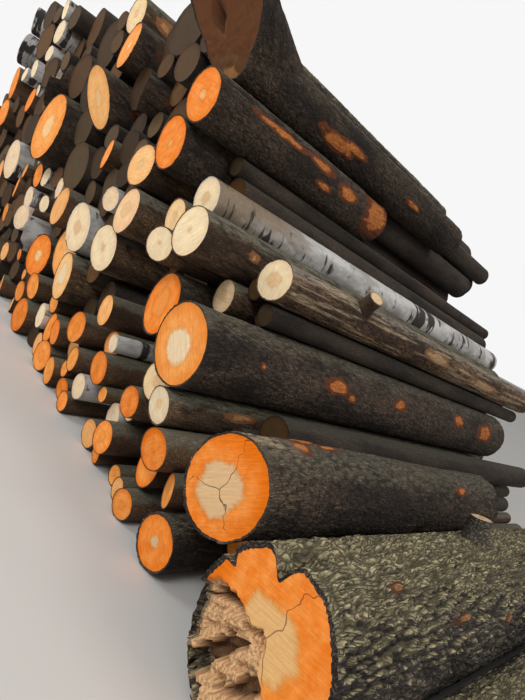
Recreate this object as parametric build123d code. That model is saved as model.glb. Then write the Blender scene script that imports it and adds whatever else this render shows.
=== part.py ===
from build123d import *
import math
import os

# Pile of felled alder and birch logs, butts to the front, thin ends to the back
# X runs from the sawn butts to the back, Y along the pile, Z up, millimetres
# All logs taper towards one far point, so two that touch at the butts touch all along

# Driving sizes of the pile
LOG_LENGTH = 3900.0
SHORT_LOGS = {"round_orange_log": 1700.0, "crooked_butt_log": 2450.0, "lichen_top_log": 3000.0,
              "top_flared_log": 2850.0, "upper_alder_log": 3450.0, "pale_heart_log": 3650.0}
BACK_SHARE = 0.92
FAN_CENTRE = 4900.0
TIP_DISTANCE = LOG_LENGTH / (1 - BACK_SHARE)
SEAT_GAP = 0.3
NEAR_FACE = [(0, 1450), (600, 1650), (1400, 2150), (1500, 2450), (1900, 3000), (3300, 3350)]
FAR_FACE = [(0, 9350), (1500, 9000), (3300, 8450)]

# Logs that hold the seen ones up, thickest first
BED_RADII = (215.0, 170.0, 135.0, 105.0)
PACKING_RADII = (120.0, 90.0, 65.0)
BED_REACH = 900.0
BED_TOP_SHARE = 0.8
PACKING_TRIES = 5
PACKING_GAIN = 10.0
HIDDEN_SET_BACK = 370.0
HIDDEN_SCATTER = 70.0
OPEN_END = 3500.0
OPEN_SET_BACK = 60.0
FOOT_TIER = 600.0
MIDDLE_TIER = 1600.0

# How near to its place in the plan a log has to lie, and how steady
SEAT_TOLERANCE = 15.0
TOLERANCE_GROWTH = 0.012
TOLERANCE_START = 1500.0
WEDGE_LIMIT = 2.9
TOUCH = 0.001

# Saw cuts and log ends
BACK_SCATTER = 240.0
SAW_TILT = 4.0
SAW_ALLOWANCE = 400.0
TURN = 2.399
SCATTER_SPAN = 100.0

# Widest flat of a log, in degrees round it: near ones are nearly round
NEAR_REACH = 3450.0
NEAR_STEP = 14.0
FAR_STEP = 30.0
HIDDEN_STEP = 42.0

# Marks of single logs
FURROW_RADIUS = 105.0
FURROW_END_RADIUS = 12.0
FURROW_LENGTH = 900.0
FURROW_LEAN = 14.0
GIANT_STUB_RADIUS = 65.0
GIANT_STUB_PLACE = 1500.0
GIANT_STUB_LEAN = 12.0
PEELED_STUB_RADIUS = 50.0
PEELED_STUB_PLACE = 1000.0
PEELED_STUB_LEAN = -38.0
STUB_HEIGHT = 110.0
FLARE_GROWTH = 220.0
FLARE_LENGTH = 800.0
FLARE_LEAN_LIMIT = 60.0
FELLING_STEP_DEPTH = 95.0
FELLING_STEP_SHARE = 0.15

# Each row: node, place along the pile, height of the axis, diameter, how far the butt
# stands out of the front (minus is set back), turn of the saw cut to the near side and up
# Lengths here are whole centimetres read off the real pile, angles are degrees
CM = 10.0
SEEN_LOGS = [
    ("giant_ground_log", 99, 37, 74, 14, 0, 2),
    ("mossy_ground_log", 45, 22, 44, -70, 6, 0),
    ("leaning_foot_log", 180, 15, 29, 4, 10, 0),
    ("alder_foot_logs_near", 154, 30, 16, -30, 0, 0),
    ("hidden_foot_logs", 180, 48, 16, -40, 0, 0),
    ("crooked_butt_log", 154, 67, 48, 6, 14, 3),
    ("hidden_foot_logs", 190, 78, 22, -45, 0, 0),
    ("alder_foot_logs_near", 187, 33, 18, 0, -20, 0),
    ("alder_foot_logs_near", 174, 35, 12, -18, 0, 0),
    ("alder_foot_logs_near", 213, 17, 17, 4, 8, 5),
    ("alder_foot_logs_near", 232, 12, 14, 0, 0, 0),
    ("alder_foot_logs_near", 246, 13, 13, -4, 0, 0),
    ("alder_foot_logs_near", 268, 8, 15, 0, -8, 0),
    ("alder_foot_logs_near", 262, 24, 20, 6, 4, 0),
    ("alder_foot_logs_near", 275, 18, 19, 0, 0, 0),
    ("birch_foot_logs_near", 269, 33, 18, -6, 0, 0),
    ("alder_foot_logs_near", 218, 36, 23, -4, -10, 4),
    ("alder_foot_logs_near", 202, 48, 22, 8, 6, 0),
    ("shaded_foot_log", 260, 44, 16, -8, 0, 0),
    ("alder_foot_logs_near", 243, 51, 19, 4, 0, 0),
    ("cream_foot_log", 217, 67, 21, 8, 4, -3),
    ("alder_foot_logs_near", 284, 32, 11, 0, 0, 0),
    ("alder_foot_logs_near", 292, 48, 22, 4, 0, 0),
    ("birch_foot_logs_near", 318, 26, 18, 2, 6, 0),
    ("alder_foot_logs_near", 328, 8, 15, 4, 0, 0),
    ("alder_foot_logs_far", 344, 9, 17, 0, 8, 0),
    ("alder_foot_logs_far", 344, 18, 13, 0, 0, 0),
    ("alder_foot_logs_near", 312, 51, 20, -8, 0, 0),
    ("alder_foot_logs_far", 371, 13, 21, 4, 0, 0),
    ("alder_foot_logs_far", 390, 13, 24, 4, 6, 0),
    ("alder_foot_logs_far", 360, 26, 19, -6, 0, 0),
    ("alder_foot_logs_far", 344, 37, 18, 2, 0, 0),
    ("alder_foot_logs_far", 417, 10, 20, 0, -8, 0),
    ("alder_foot_logs_far", 378, 35, 20, 4, 0, 0),
    ("alder_foot_logs_far", 400, 25, 24, 0, -6, 0),
    ("alder_foot_logs_far", 416, 43, 16, 0, 0, 0),
    ("birch_foot_logs_far", 427, 31, 21, 2, 0, 0),
    ("alder_foot_logs_far", 463, 16, 30, 6, 0, 0),
    ("alder_foot_logs_far", 459, 40, 23, 4, 6, 0),
    ("alder_foot_logs_far", 511, 12, 15, 0, -10, 0),
    ("alder_foot_logs_far", 506, 30, 20, 0, 0, 0),
    ("alder_foot_logs_far", 555, 12, 21, 2, -8, 0),
    ("alder_foot_logs_far", 358, 55, 23, 2, 4, 0),
    ("birch_foot_logs_near", 313, 68, 12, 0, 0, 0),
    ("alder_foot_logs_near", 329, 77, 22, 2, 0, 0),
    ("half_shaded_cream_log", 247, 78, 24, 0, 4, 0),
    ("pale_heart_log", 224, 101, 45, 10, 4, 2),
    ("broad_shaded_log", 280, 105, 41, -4, -4, 0),
    ("wide_orange_log", 438, 72, 45, -4, 0, 0),
    ("cream_heart_log", 413, 68, 38, 6, 0, 0),
    ("ragged_orange_log", 485, 64, 40, 2, 6, 0),
    ("alder_middle_logs_far", 539, 55, 12, 0, 0, 0),
    ("alder_middle_logs_far", 512, 49, 12, 0, 0, 0),
    ("alder_middle_logs_far", 580, 40, 20, 2, 0, 0),
    ("slant_cut_birch_log", 544, 73, 34, 2, -24, 0),
    ("birch_middle_logs_far", 569, 78, 25, 4, 12, 0),
    ("birch_middle_logs_far", 573, 93, 23, 0, 0, 0),
    ("alder_middle_logs_far", 543, 99, 20, 0, -12, 0),
    ("white_face_log", 365, 109, 34, 4, 4, -6),
    ("banded_birch_log", 416, 105, 38, 6, 6, 0),
    ("alder_middle_logs_far", 465, 109, 34, 6, 0, 0),
    ("birch_middle_logs_far", 513, 111, 16, 6, 8, 0),
    ("birch_middle_logs_far", 515, 130, 20, 0, 0, 0),
    ("birch_middle_logs_far", 556, 126, 19, 0, 0, 0),
    ("alder_middle_logs_far", 587, 115, 24, 0, 0, 0),
    ("birch_middle_logs_far", 594, 138, 24, 0, -8, 0),
    ("alder_middle_logs_far", 640, 97, 25, 0, -14, 0),
    ("alder_middle_logs_far", 642, 65, 21, 0, 0, 0),
    ("alder_middle_logs_far", 634, 126, 17, 0, -6, 0),
    ("birch_middle_logs_far", 683, 120, 44, 4, 0, 0),
    ("alder_middle_logs_far", 710, 96, 34, 4, 0, 0),
    ("great_heart_log", 563, 164, 65, 14, 0, 0),
    ("birch_middle_logs_far", 627, 149, 28, 2, 0, 0),
    ("alder_middle_logs_far", 633, 166, 24, 0, -14, 0),
    ("birch_middle_logs_far", 616, 167, 14, 2, 0, 0),
    ("round_cream_log", 283, 135, 21, 10, 22, 0),
    ("cream_front_log", 263, 157, 30, 8, 4, 0),
    ("white_birch_log", 279, 158, 25, -4, 0, 0),
    ("split_shaded_log", 252, 132, 22, -25, 0, 0),
    ("peeled_stub_log", 229, 150, 25, -30, 6, 3),
    ("half_shaded_upper_log", 309, 155, 24, 0, 0, 0),
    ("pink_cream_log", 348, 143, 33, 6, 0, 0),
    ("birch_middle_logs_near", 394, 141, 18, 2, 10, 0),
    ("alder_middle_logs_near", 430, 169, 25, 2, -8, 4),
    ("split_cheek_log", 359, 174, 30, 6, 4, 0),
    ("upper_alder_log", 334, 193, 36, 6, 0, 0),
    ("tilted_cut_log", 475, 206, 45, 8, 10, -26),
    ("oblique_cut_log", 416, 220, 27, 0, -30, 0),
    ("round_orange_log", 318, 225, 35, 8, 6, 0),
    ("slim_orange_log", 476, 251, 41, 4, -6, 0),
    ("torn_cream_log", 499, 281, 32, 0, 0, 0),
    ("stepped_butt_log", 616, 210, 49, 8, -22, 0),
    ("birch_upper_logs_far", 659, 214, 21, 0, -20, 0),
    ("birch_upper_logs_far", 696, 203, 13, 0, 0, 0),
    ("alder_upper_logs_far", 722, 186, 30, 0, 0, 0),
    ("alder_upper_logs_far", 805, 164, 35, 4, 0, 0),
    ("alder_upper_logs_far", 809, 202, 41, 4, 0, 0),
    ("birch_upper_logs_far", 772, 215, 18, 2, 0, 0),
    ("birch_upper_logs_far", 749, 226, 21, 2, 0, 0),
    ("birch_upper_logs_far", 697, 239, 18, 4, 10, 0),
    ("birch_upper_logs_far", 692, 265, 26, 4, 0, 0),
    ("birch_upper_logs_far", 712, 291, 22, 2, 0, 0),
    ("birch_upper_logs_far", 840, 242, 40, 0, -24, 0),
    ("birch_upper_logs_far", 845, 280, 33, 0, -24, 0),
    ("top_flared_log", 326, 257, 36, 4, 24, -26),
    ("lichen_top_log", 358, 281, 24, -30, 0, 0),
]


# Finding seats


def is_clear(y, z, radius, others):
    for other_y, other_z, other_radius in others:
        reach = radius + other_radius + SEAT_GAP - TOUCH
        side = y - other_y
        if abs(side) < reach and side * side + (z - other_z) ** 2 < reach * reach:
            return False
    return True


def ground_seats(radius, near):
    """Spots on the ground with the log against one that lies there already."""
    found = []
    for y, z, other_radius in near:
        reach = radius + other_radius + SEAT_GAP
        rise = z - radius
        if reach > abs(rise):
            side = math.sqrt(reach ** 2 - rise ** 2)
            found.append((y - side, radius))
            found.append((y + side, radius))
    return found


def pair_seats(radius, near):
    """Spots where the log lies steady in the hollow between two others."""
    found = []
    for index, (first_y, first_z, first_radius) in enumerate(near):
        first_reach = radius + first_radius + SEAT_GAP
        for second_y, second_z, second_radius in near[:index]:
            second_reach = radius + second_radius + SEAT_GAP
            across = second_y - first_y
            up = second_z - first_z
            apart = math.hypot(across, up)
            if apart >= first_reach + second_reach:
                continue
            along = (first_reach ** 2 - second_reach ** 2 + apart ** 2) / (2 * apart)
            if abs(along) > first_reach:
                continue
            off = math.sqrt(first_reach ** 2 - along ** 2)
            for hand in (-1, 1):
                y = first_y + (along * across - hand * off * up) / apart
                z = first_z + (along * up + hand * off * across) / apart
                lean_first = math.atan2(y - first_y, z - first_z)
                lean_second = math.atan2(y - second_y, z - second_z)
                steady = lean_first * lean_second < 0
                wedged = abs(lean_first) + abs(lean_second) > WEDGE_LIMIT
                if z >= radius and steady and not wedged:
                    found.append((y, z))
    return found


def seats_near(y_from, y_to, radius, laid):
    near = [log for log in laid if y_from - 2 * radius < log[0] < y_to + 2 * radius]
    return ground_seats(radius, near) + pair_seats(radius, near)


def nearest_seat(y, z, radius, laid):
    """The free seat nearest to a spot, and how far off it is."""
    found = seats_near(y - BED_REACH, y + BED_REACH, radius, laid)
    if z < 2 * radius:
        found.append((y, radius))
    found.sort(key=lambda seat: math.hypot(seat[0] - y, seat[1] - z))
    for seat in found:
        if is_clear(seat[0], seat[1], radius, laid):
            return seat, math.hypot(seat[0] - y, seat[1] - z)
    return None, math.inf


def face_at(profile, z):
    """Where the slope at one end of the pile stands at this height."""
    for (low_z, low_y), (high_z, high_y) in zip(profile, profile[1:]):
        if z <= high_z:
            return low_y + (high_y - low_y) * (z - low_z) / (high_z - low_z)
    return profile[-1][1]


def in_pile(y, z, radius):
    return face_at(NEAR_FACE, z) + radius < y < face_at(FAR_FACE, z) - radius


# Filling in underneath


def free_bed_spot(level, y_from, y_to, radius, laid, to_come):
    """The lowest seat below a level that keeps the places of the coming logs free."""
    spots = [spot for spot in seats_near(y_from, y_to, radius, laid)
             if spot[1] < level and y_from < spot[0] < y_to]
    spots.append(((y_from + y_to) / 2, radius))
    for y, z in sorted(spots, key=lambda spot: spot[1]):
        if in_pile(y, z, radius) and is_clear(y, z, radius, laid + to_come):
            return y, z, radius
    return None


def bed_up_to(level, y_from, y_to, laid, to_come):
    """Hidden logs that fill the pile below a level, the thickest first."""
    added = []
    for radius in BED_RADII:
        spot = free_bed_spot(level, y_from, y_to, radius, laid, to_come)
        while spot:
            laid.append(spot)
            added.append(spot)
            spot = free_bed_spot(level, y_from, y_to, radius, laid, to_come)
    return added


def packing_under(y, z, radius, laid, to_come):
    """One slim hidden log that brings the next seat nearest to where a log should lie."""
    best = None
    best_miss = nearest_seat(y, z, radius, laid)[1] - PACKING_GAIN
    for packing in PACKING_RADII:
        for spot_y, spot_z in seats_near(y - 2 * radius, y + 2 * radius, packing, laid):
            if spot_z > z or math.hypot(spot_y - y, spot_z - z) > radius + 3 * packing:
                continue
            if not in_pile(spot_y, spot_z, packing):
                continue
            if not is_clear(spot_y, spot_z, packing, laid + to_come):
                continue
            log = (spot_y, spot_z, packing)
            miss = nearest_seat(y, z, radius, laid + [log])[1]
            if miss < best_miss:
                best = log
                best_miss = miss
    return best


def hidden_logs(spots):
    """Names and ends for the logs that hold the seen ones up."""
    found = []
    for y, z, radius in spots:
        tier = "foot" if z < FOOT_TIER else "middle" if z < MIDDLE_TIER else "upper"
        set_back = HIDDEN_SET_BACK if y < OPEN_END else OPEN_SET_BACK
        mark = (y + z) / SCATTER_SPAN
        out = HIDDEN_SCATTER * math.sin(TURN * mark) - set_back
        found.append((f"hidden_{tier}_logs", y, z, radius, out, 0.0, 0.0, mark))
    return found


def settle(plan):
    """Lays the logs from the ground up, each on the seat nearest to its place in the plan."""
    seen = [(node, y * CM, z * CM, diameter * CM / 2, out * CM, side, up, row)
            for row, (node, y, z, diameter, out, side, up) in enumerate(plan)]
    seen.sort(key=lambda log: log[2] - log[3])
    laid = []
    pile = []
    for index, (node, y, z, radius, *ends) in enumerate(seen):
        to_come = [log[1:4] for log in seen[index:]]
        allowed = SEAT_TOLERANCE + TOLERANCE_GROWTH * max(0.0, y - TOLERANCE_START)
        seat, miss = nearest_seat(y, z, radius, laid)
        if miss > allowed:
            top = z - BED_TOP_SHARE * radius
            pile += hidden_logs(bed_up_to(top, y - BED_REACH, y + BED_REACH, laid, to_come))
            seat, miss = nearest_seat(y, z, radius, laid)
        for _ in range(PACKING_TRIES):
            packing = packing_under(y, z, radius, laid, to_come) if miss > allowed else None
            if packing is None:
                break
            laid.append(packing)
            pile += hidden_logs([packing])
            seat, miss = nearest_seat(y, z, radius, laid)
        laid.append((seat[0], seat[1], radius))
        pile.append((node, seat[0], seat[1], radius, *ends))
    return pile


# Making the logs


def ray(y, z):
    """Unit vector from the far tip point to a spot of the front section.

    The section is laid out on a sphere round the tip, so its circles stay true round cones.
    """
    across = (y - FAN_CENTRE) / (2 * TIP_DISTANCE)
    up = z / (2 * TIP_DISTANCE)
    spread = across ** 2 + up ** 2
    return Vector(spread - 1, 2 * across, 2 * up) / (1 + spread)


def tip():
    return Vector(TIP_DISTANCE, FAN_CENTRE, 0)


def point_at(x, y, z):
    """Spot of the front section followed to the depth x."""
    along = ray(y, z)
    return tip() + along * ((x - TIP_DISTANCE) / along.X)


def seat_angles(index, pile):
    """Directions in which a log touches its neighbours or the ground."""
    y, z, radius = pile[index][1:4]
    angles = []
    if z < radius + SEAT_GAP:
        angles.append(-math.pi / 2)
    for other, log in enumerate(pile):
        apart = math.hypot(log[1] - y, log[2] - z)
        if other != index and apart < radius + log[3] + 2 * SEAT_GAP:
            angles.append(math.atan2(log[2] - z, log[1] - y))
    return sorted(angles)


def corner_angles(seats, step):
    """A corner at each seat, and more between so that no flat is wider than the step."""
    angles = []
    for angle, following in zip(seats, seats[1:] + [seats[0] + 2 * math.pi]):
        parts = max(1, math.ceil((following - angle) / step))
        angles += [angle + (following - angle) * part / parts for part in range(parts)]
    return angles


def saw_cut(x, y, z, side, up, end):
    """Plane of a saw cut that looks to -X or +X by the sign of end, slightly turned."""
    facing = (end, -math.tan(math.radians(side)), math.tan(math.radians(up)))
    return Plane(origin=point_at(x, y, z), z_dir=facing)


def flat_sided(butt, back):
    """A many-sided solid between two rings of corners."""
    flats = [Face(Wire.make_polygon([butt[k - 1], butt[k], back[k], back[k - 1]]))
             for k in range(len(butt))]
    ends = [Face(Wire.make_polygon(butt)), Face(Wire.make_polygon(back))]
    return Solid(Shell(flats + ends))


def tapered_log(y, z, radius, angles, butt_cut, back_cut):
    """A log from cut to cut, with its corners where it touches its neighbours."""
    rings = ([], [])
    for angle in angles:
        along = ray(y + radius * math.cos(angle), z + radius * math.sin(angle))
        for cut, corners in zip((butt_cut, back_cut), rings):
            reach = (cut.origin - tip()).dot(cut.z_dir) / along.dot(cut.z_dir)
            corners.append(tip() + along * reach)
    return flat_sided(*rings)


def flare(y, z, radius, x_butt, angles, seats):
    """The swollen root end of a log, raised clear of the logs that it lies on."""
    leans = [abs(seat + math.pi / 2) for seat in seats]
    widest = max([lean for lean in leans if lean < math.radians(FLARE_LEAN_LIMIT)], default=0.0)
    lift = FLARE_GROWTH / math.cos(widest)
    swollen = radius + FLARE_GROWTH
    middle = point_at(x_butt - SAW_ALLOWANCE, y, z + lift)
    neck = point_at(x_butt + FLARE_LENGTH, y, z)
    slim = (radius - FLARE_GROWTH / 2) * neck.Z / z
    turns = [Vector(0, math.cos(angle), math.sin(angle)) for angle in angles]
    return flat_sided([middle + turn * swollen for turn in turns],
                      [neck + turn * slim for turn in turns])


def stub_on(x, y, z, radius, lean, stub_radius):
    """Cut branch that stands out of the top of a log and leans to one side."""
    direction = (0, math.sin(math.radians(lean)), math.cos(math.radians(lean)))
    return Solid.make_cylinder(stub_radius, radius + STUB_HEIGHT,
                               Plane(origin=point_at(x, y, z), z_dir=direction))


def furrow_between_lobes(y, z, radius, x_butt):
    """The hollow that parts the two lobes of the giant butt and runs out along its top."""
    lean = math.radians(FURROW_LEAN)
    reach = radius + FURROW_END_RADIUS
    start = point_at(x_butt, y + radius * math.sin(lean), z + radius * math.cos(lean))
    finish = point_at(x_butt + FURROW_LENGTH, y + reach * math.sin(lean), z + reach * math.cos(lean))
    along = finish - start
    return Solid.make_cone(FURROW_RADIUS, FURROW_END_RADIUS, along.length,
                           Plane(origin=start, z_dir=along))


def felling_step(y, z, radius, x_butt):
    """The upper part of a butt that broke off deeper than the saw cut below it."""
    size = 4 * radius
    low = point_at(x_butt + FELLING_STEP_DEPTH, y, z + FELLING_STEP_SHARE * radius)
    return Box(size, size, size).moved(Location((low.X - size / 2, low.Y, low.Z + size / 2)))


def make_log(node, y, z, radius, x_butt, butt_cut, back_cut, seats):
    """One log between its two saw cuts, with the marks that only it has."""
    step = HIDDEN_STEP if node.startswith("hidden") else FAR_STEP if y > NEAR_REACH else NEAR_STEP
    angles = corner_angles(seats, math.radians(step))
    log = tapered_log(y, z, radius, angles, butt_cut, back_cut)
    if node == "top_flared_log":
        swollen = flare(y, z, radius, x_butt, angles, seats)
        log = log + split(swollen, bisect_by=butt_cut, keep=Keep.BOTTOM)
    if node == "giant_ground_log":
        log = log - furrow_between_lobes(y, z, radius, x_butt)
        log = log + stub_on(GIANT_STUB_PLACE, y, z, radius, GIANT_STUB_LEAN, GIANT_STUB_RADIUS)
    if node == "peeled_stub_log":
        log = log + stub_on(PEELED_STUB_PLACE, y, z, radius, PEELED_STUB_LEAN, PEELED_STUB_RADIUS)
    if node == "stepped_butt_log":
        log = log - felling_step(y, z, radius, x_butt)
    return log.solid()


# Building every log of the pile
pile = settle(SEEN_LOGS)
nodes = {}
for index, (node, y, z, radius, out, side, up, mark) in enumerate(pile):
    wander = math.sin(TURN * mark)
    drift = math.cos(TURN * mark)
    x_butt = -out
    x_back = SHORT_LOGS.get(node, LOG_LENGTH + BACK_SCATTER * wander)
    butt_cut = saw_cut(x_butt, y, z, side + SAW_TILT * wander, up + SAW_TILT * drift, -1)
    back_cut = saw_cut(x_back, y, z, SAW_TILT * drift, SAW_TILT * wander, 1)
    seats = seat_angles(index, pile)
    log = make_log(node, y, z, radius, x_butt, butt_cut, back_cut, seats)
    nodes.setdefault(node, []).append(log)

# Origin under the middle of the pile, on the ground
box = Compound([log for logs in nodes.values() for log in logs]).bounding_box()
to_origin = Location((-box.center().X, -box.center().Y, -box.min.Z))
os.makedirs("parts", exist_ok=True)
for node, logs in nodes.items():
    export_step(Compound(logs).moved(to_origin), f"parts/{node}.step")
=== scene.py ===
import bpy
import math
import numpy as np
from mathutils import Matrix, Vector


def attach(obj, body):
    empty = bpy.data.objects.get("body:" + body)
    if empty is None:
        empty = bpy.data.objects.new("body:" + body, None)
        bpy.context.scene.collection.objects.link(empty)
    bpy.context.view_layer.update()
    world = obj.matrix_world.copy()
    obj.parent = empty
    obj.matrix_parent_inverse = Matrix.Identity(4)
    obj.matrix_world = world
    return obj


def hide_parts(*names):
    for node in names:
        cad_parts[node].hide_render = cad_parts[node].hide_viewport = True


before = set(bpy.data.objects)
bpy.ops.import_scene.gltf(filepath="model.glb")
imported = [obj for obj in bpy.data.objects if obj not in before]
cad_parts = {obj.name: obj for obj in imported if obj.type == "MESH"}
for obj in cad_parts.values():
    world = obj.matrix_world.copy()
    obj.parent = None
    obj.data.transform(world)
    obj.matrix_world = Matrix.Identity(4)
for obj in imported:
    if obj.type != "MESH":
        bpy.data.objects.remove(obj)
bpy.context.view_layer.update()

# Far tip: every log of the pile tapers towards this one point behind it. It is
# found from the long side edges of the solids, and all else is placed from it.
SHORTEST_EDGE = 1.5


def long_edges(node):
    """Both ends of each sharp side edge that runs the length of a log, butt end first."""
    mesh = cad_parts[node].data
    spots = np.zeros(len(mesh.vertices) * 3)
    mesh.vertices.foreach_get("co", spots)
    spots = spots.reshape(-1, 3)
    ends = np.zeros(len(mesh.edges) * 2, int)
    mesh.edges.foreach_get("vertices", ends)
    ends = ends.reshape(-1, 2)
    used = np.zeros(len(mesh.loops), int)
    mesh.loops.foreach_get("edge_index", used)
    # flats are split along their sharp edges, so an edge with two faces is a diagonal
    sharp = np.bincount(used, minlength=len(ends)) == 1
    ends = ends[sharp & (np.linalg.norm(spots[ends[:, 0]] - spots[ends[:, 1]], axis=1) > SHORTEST_EDGE)]
    turned = spots[ends[:, 0], 0] > spots[ends[:, 1], 0]
    ends[turned] = ends[turned][:, ::-1]
    return spots, ends


def shared_tip(nodes):
    """The point nearest to all the side edges of these nodes, drawn on."""
    pull = np.zeros((3, 3))
    aim = np.zeros(3)
    for node in nodes:
        spots, ends = long_edges(node)
        for butt, back in ends:
            along = spots[back] - spots[butt]
            along /= np.linalg.norm(along)
            across = np.eye(3) - np.outer(along, along)
            pull += across
            aim += across @ spots[butt]
    return np.linalg.solve(pull, aim)


HIDDEN_NODES = ("hidden_foot_logs", "hidden_middle_logs", "hidden_upper_logs")
tip = shared_tip(HIDDEN_NODES)

# Camera: held at eye height close to the near butts and tilted over to the side,
# looking along the front of the pile. Its place is measured from the far tip.
EYE_FROM_TIP = np.array((-50.35, -4.90, 1.61))
HEADING = math.radians(48)
PITCH = math.radians(10)
ROLL = math.radians(27)
FOCAL_PIXELS = 555.0
PICTURE_PIXELS = 700.0

eye = tip + EYE_FROM_TIP
forward = Vector((math.cos(HEADING) * math.cos(PITCH), math.sin(HEADING) * math.cos(PITCH),
                  -math.sin(PITCH)))
level_right = Vector((math.sin(HEADING), -math.cos(HEADING), 0))
level_up = level_right.cross(forward)
camera_right = level_right * math.cos(ROLL) + level_up * math.sin(ROLL)
camera_up = level_up * math.cos(ROLL) - level_right * math.sin(ROLL)
lens = bpy.data.cameras.new("pile_camera")
lens.sensor_width = 36.0
lens.lens = FOCAL_PIXELS * lens.sensor_width / PICTURE_PIXELS
lens.clip_end = 200.0
camera = bpy.data.objects.new("pile_camera", lens)
camera.matrix_world = Matrix((
    (camera_right.x, camera_up.x, -forward.x, eye[0]),
    (camera_right.y, camera_up.y, -forward.y, eye[1]),
    (camera_right.z, camera_up.z, -forward.z, eye[2]),
    (0, 0, 0, 1)))
bpy.context.scene.collection.objects.link(camera)
bpy.context.scene.camera = camera

# Giant ground log: old alder, the thickest stem of the pile, under thick plated
# bark grown over with moss. Felling tore its butt into two bright orange lobes and
# a splintered cream side. It lies on the ground; a cut branch stands on top.
LEAST_FACING = 0.7
SAME_TIP_COSINE = -0.99999


def saw_cut(mesh, owner, piece, looks):
    """A point on the largest flat that looks to the front or the back, and its direction."""
    sizes = {}
    for face in mesh.polygons:
        if owner[face.vertices[0]] == piece and face.normal[0] * looks > LEAST_FACING:
            level = round(face.normal.dot(face.center), 3)
            sizes.setdefault(level, []).append(face)
    widest = max(sizes.values(), key=lambda faces: sum(face.area for face in faces))
    return np.array(widest[0].center), np.array(widest[0].normal)


def solid_of_each(mesh, spots):
    """A number for each mesh corner that tells which log of the node it belongs to."""
    pairs = np.zeros(len(mesh.edges) * 2, int)
    mesh.edges.foreach_get("vertices", pairs)
    # corners that the flat shading splits are joined again before the solids are told apart
    same = np.unique(np.round(spots, 5), axis=0, return_inverse=True)[1].ravel()
    pairs = same[pairs.reshape(-1, 2)]
    label = np.arange(same.max() + 1)
    before = None
    while before is None or (label != before).any():
        before = label.copy()
        low = np.minimum(label[pairs[:, 0]], label[pairs[:, 1]])
        np.minimum.at(label, pairs[:, 0], low)
        np.minimum.at(label, pairs[:, 1], low)
        label = label[label]
    return label[same]


def cones_of(node):
    """Axis, slope and both saw cuts of every log in a node, read from its solids."""
    spots, ends = long_edges(node)
    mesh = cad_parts[node].data
    owner = solid_of_each(mesh, spots)
    found = []
    for piece in np.unique(owner):
        mine = ends[owner[ends[:, 0]] == piece]
        if not len(mine):
            continue
        rays = np.vstack([spots[mine[:, 0]], spots[mine[:, 1]]]) - tip
        rays /= np.linalg.norm(rays, axis=1)[:, None]
        # edges that don't run to the tip belong to a flare or a stub
        aims = spots[mine[:, 1]] - spots[mine[:, 0]]
        aims /= np.linalg.norm(aims, axis=1)[:, None]
        true = (rays[:len(mine)] * aims).sum(axis=1) < SAME_TIP_COSINE
        if true.sum() > 3:
            rays = np.vstack([rays[:len(mine)][true], rays[len(mine):][true]])
        middle = rays.mean(axis=0)
        axis = np.linalg.svd(rays - middle)[2][2]
        axis *= np.sign(axis @ middle)
        cosine = (rays @ axis).mean()
        cuts = [saw_cut(mesh, owner, piece, looks) for looks in (-1, 1)]
        found.append({"axis": axis, "slope": math.sqrt(1 - cosine ** 2) / cosine,
                      "butt": cuts[0], "back": cuts[1]})
    found.sort(key=lambda log: log["axis"][1])
    return found


# large odd factors and shifts that leave no pattern from one lattice cell to the next
CELL_FACTORS = np.array((374761393, 668265263, 1440662683))
SEED_FACTOR = 974711
MIXING = ((13, 1274126177), (15, 668265263))
LAST_SHIFT = 16
LOW_32_BITS = 0xFFFFFFFF
LOW_16_BITS = 0xFFFF


def scramble(cells, seed):
    """A seeded value between 0 and 1 for each lattice cell."""
    mixed = (cells @ CELL_FACTORS + seed * SEED_FACTOR) & LOW_32_BITS
    for shift, factor in MIXING:
        mixed = ((mixed ^ (mixed >> shift)) * factor) & LOW_32_BITS
    return ((mixed ^ (mixed >> LAST_SHIFT)) & LOW_16_BITS) / LOW_16_BITS


def cloud(spots, seed, layers=1):
    """Smooth seeded noise, about 0 to 1, with finer layers on top if wanted."""
    total = np.zeros(spots.shape[:-1])
    for layer in range(layers):
        fine = spots * 2 ** layer
        cell = np.floor(fine).astype(np.int64)
        part = fine - cell
        part = part * part * (3 - 2 * part)
        for corner in np.ndindex(2, 2, 2):
            share = np.prod(np.where(corner, part, 1 - part), axis=-1)
            total += share * scramble(cell + corner, seed + layer) / 2 ** layer
    return total / (2 - 2.0 ** (1 - layers))


def plate_borders(spots, seed):
    """How far a spot is from the border between two bark plates, in plate widths."""
    cell = np.floor(spots).astype(np.int64)
    nearest = np.full(spots.shape[:-1], np.inf)
    second = np.full(spots.shape[:-1], np.inf)
    for step in np.ndindex(3, 3, 3):
        near = cell + np.array(step) - 1
        middle = near + np.stack([scramble(near, seed + k) for k in range(3)], axis=-1)
        far = np.linalg.norm(spots - middle, axis=-1)
        second = np.minimum(second, np.maximum(nearest, far))
        nearest = np.minimum(nearest, far)
    return second - nearest


def ease(value, low, high):
    """0 below low, 1 above high, smooth between; low may be the larger one."""
    part = np.clip((value - low) / (high - low), 0, 1)
    return part * part * (3 - 2 * part)


def turn_away(turn, middle):
    """How far a turn is from the middle one, in radians, the short way round."""
    return np.angle(np.exp(1j * (turn - middle)))


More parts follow.
